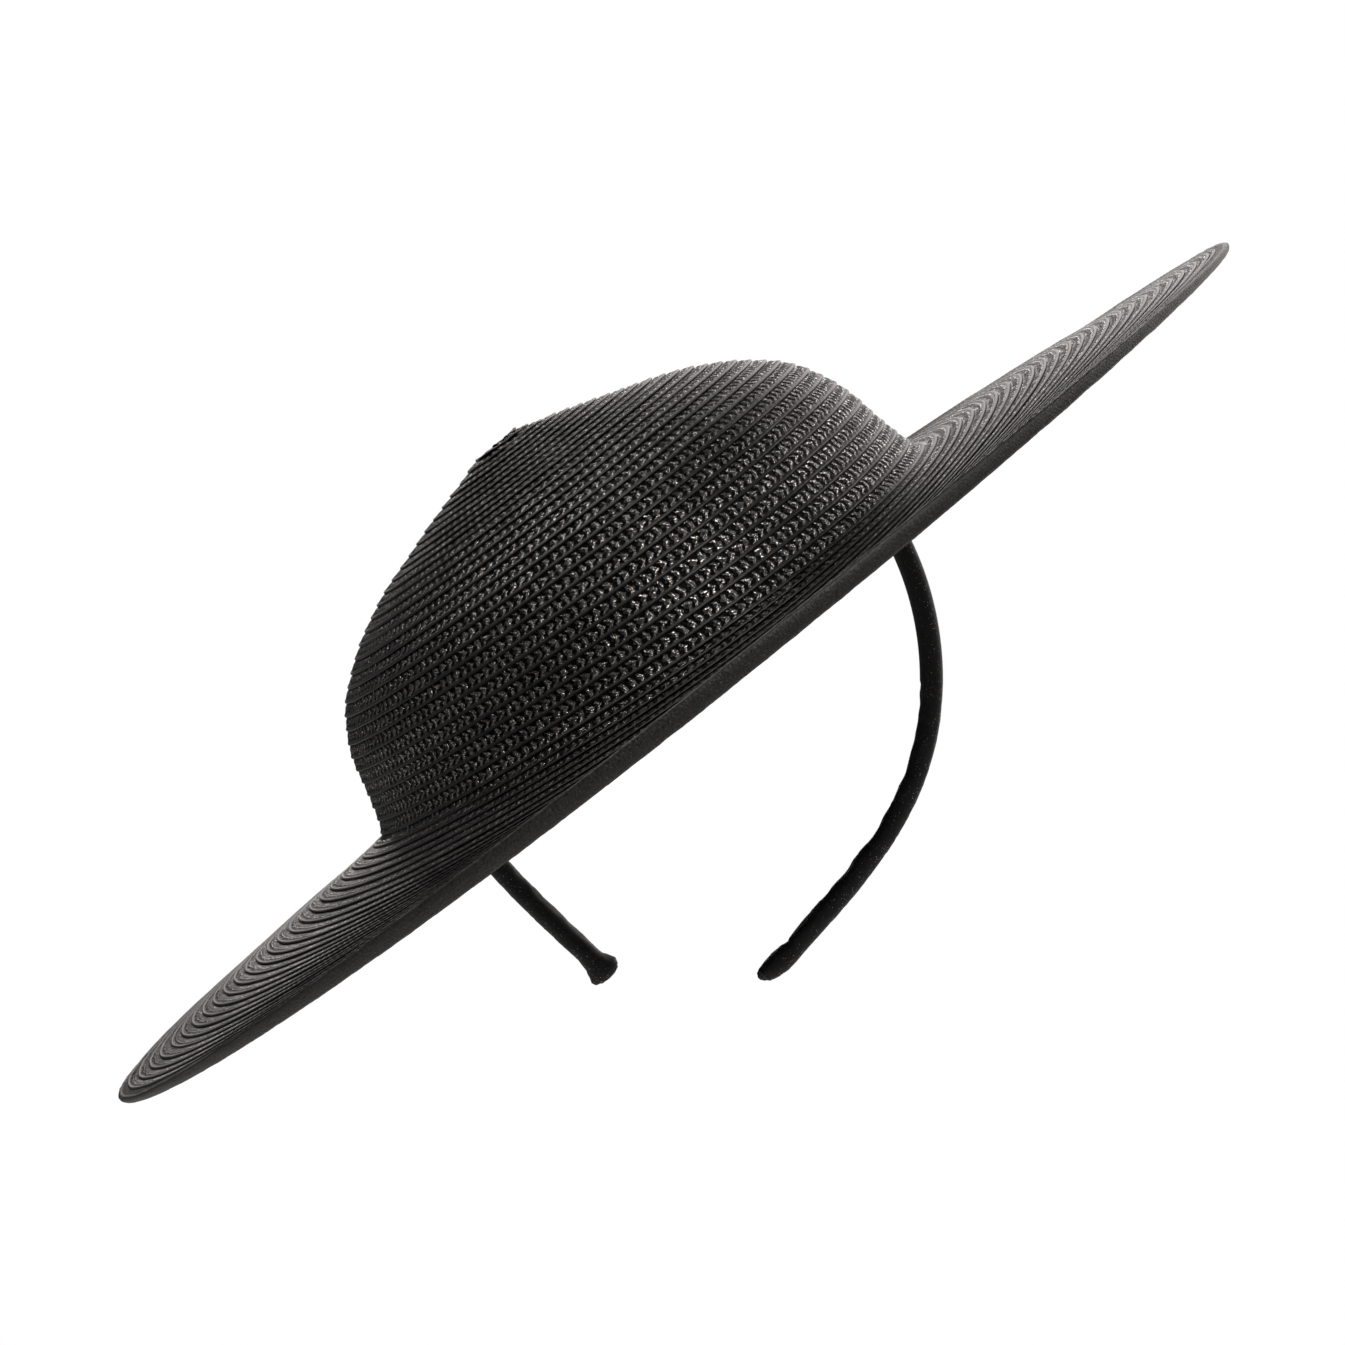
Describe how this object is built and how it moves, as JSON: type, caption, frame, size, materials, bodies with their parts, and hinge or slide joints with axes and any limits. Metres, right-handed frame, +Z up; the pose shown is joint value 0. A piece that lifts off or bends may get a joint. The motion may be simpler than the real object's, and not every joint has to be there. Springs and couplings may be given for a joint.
{
  "type": "plate hat",
  "caption": "Black saucer hat of sewn straw braid with a domed crown, a wide flat brim and a covered headband under it, tilted as worn.",
  "frame": {"origin": "inner top of the headband, where the head sits", "axes": "+Z up as worn, +X to the side where the brim is high, +Y away from the viewer along the hat's uncut width"},
  "size_m": [0.3113, 0.3918, 0.2394],
  "materials": {
    "straw_braid": "glossy synthetic straw braid, sewn in rows",
    "rim_braid": "fine dense braid rolled under along the edge",
    "band_cover": "black stretch cover with a fine sparkle"
  },
  "bodies": {
    "root": {"crown": "straw_braid", "brim": "straw_braid", "rim_edge": "rim_braid", "tip_coil": "straw_braid", "headband": "band_cover"}
  },
  "joints": []
}
